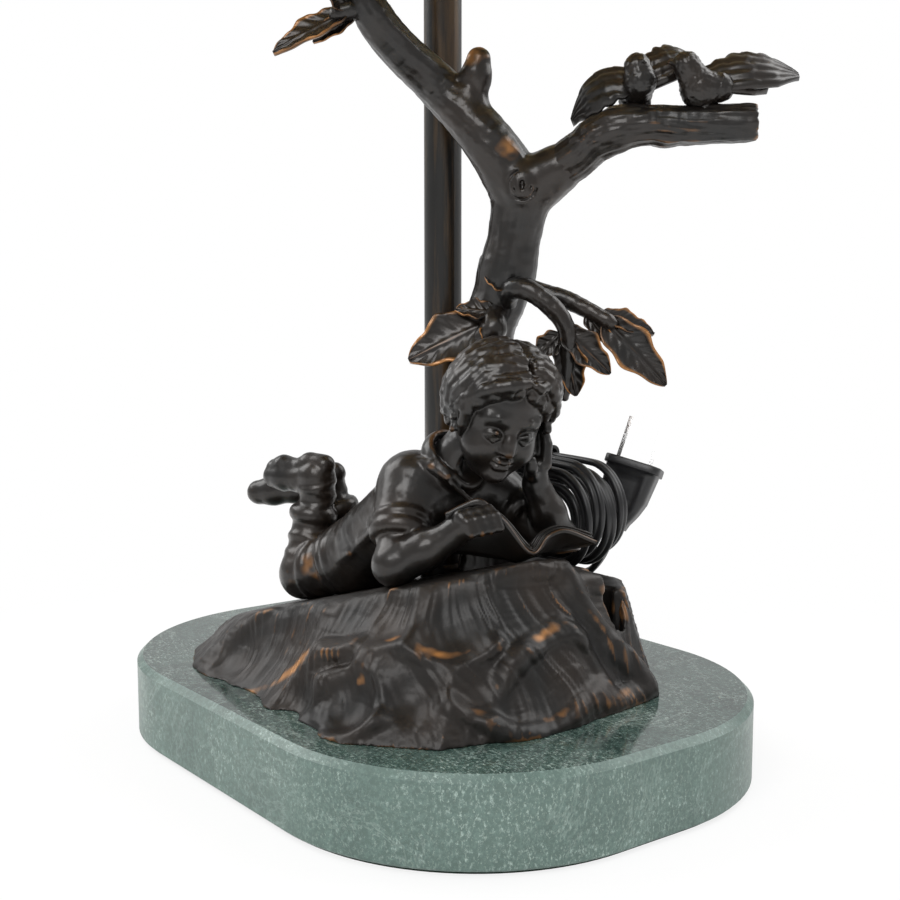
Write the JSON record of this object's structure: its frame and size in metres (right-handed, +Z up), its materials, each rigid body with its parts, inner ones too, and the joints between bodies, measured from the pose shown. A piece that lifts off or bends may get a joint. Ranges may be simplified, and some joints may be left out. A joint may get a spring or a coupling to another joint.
{
  "type": "figural table lamp",
  "caption": "Table lamp with a cast figure of a reading child on a rock and a tree with birds, on a marble base, with a glass shade over a turn-key lampholder and a corded plug",
  "frame": {"origin": "middle of the resting face of the base", "axes": "+Z up; +X along the base towards the end where the figure holds its head; +Y across the base, from the figure's book arm to the hank of cord behind"},
  "size_m": [0.2753, 0.2714, 0.4947],
  "materials": {
    "marble": "polished dark green-grey marble with pale flecks",
    "pad": "felt",
    "bronze": "near-black brown patina with rubbed golden edges",
    "pole_metal": "dark brown patina",
    "steel": "zinc plated",
    "brass": "aged, satin",
    "cord": "black flat twin flex, satin",
    "plug": "black, moulded",
    "rubber": "black, moulded",
    "porcelain": "glazed",
    "fibre": "hard fibre",
    "bulb_glass": "frosted",
    "bulb_metal": "bright",
    "shade_glass": "opalescent amber and green, leaded"
  },
  "bodies": {
    "lamp": {"base_pad": "pad", "marble_base": "marble", "rock_casting": "bronze", "rock_screws": "steel", "rock_screw_washers": "steel", "reading_figure": "bronze", "figure_screws": "steel", "open_book": "bronze", "tree_trunk": "bronze", "tree_screw": "steel", "right_bough": "bronze", "left_bird": "bronze", "right_bird": "bronze", "upper_leaves": "bronze", "left_leaf": "bronze", "hanging_vine": "bronze", "right_leaves": "bronze", "lamp_pole": "pole_metal", "pole_stud": "steel", "pole_nut": "steel", "pole_washer": "steel", "pole_collar": "pole_metal", "collar_screw": "steel", "cord_coil": "cord", "cord_tie": "rubber", "cord_run": "cord", "cord_tail": "cord", "plug_body": "plug", "plug_blades": "brass", "cord_bushing": "rubber", "inner_lead": "cord", "top_nipple": "brass", "harp_saddle": "brass", "holder_cap": "brass", "holder_locknut": "brass", "holder_shell": "brass", "holder_liner": "fibre", "switch_block": "porcelain", "screw_shell": "brass", "centre_contact": "brass", "bulb_cap": "bulb_metal", "bulb_glass": "bulb_glass", "harp": "brass", "shade_glass": "shade_glass", "shade_rim_band": "brass", "shade_spider": "brass", "shade_cap": "brass", "finial": "brass"},
    "key": {"switch_key": "brass"}
  },
  "joints": [
    {"name": "key_turn", "type": "hinge", "parent": "lamp", "child": "key", "pos_m": [-0.0226, 0.0032, 0.343], "axis": [0, -1, 0], "continuous": true}
  ]
}
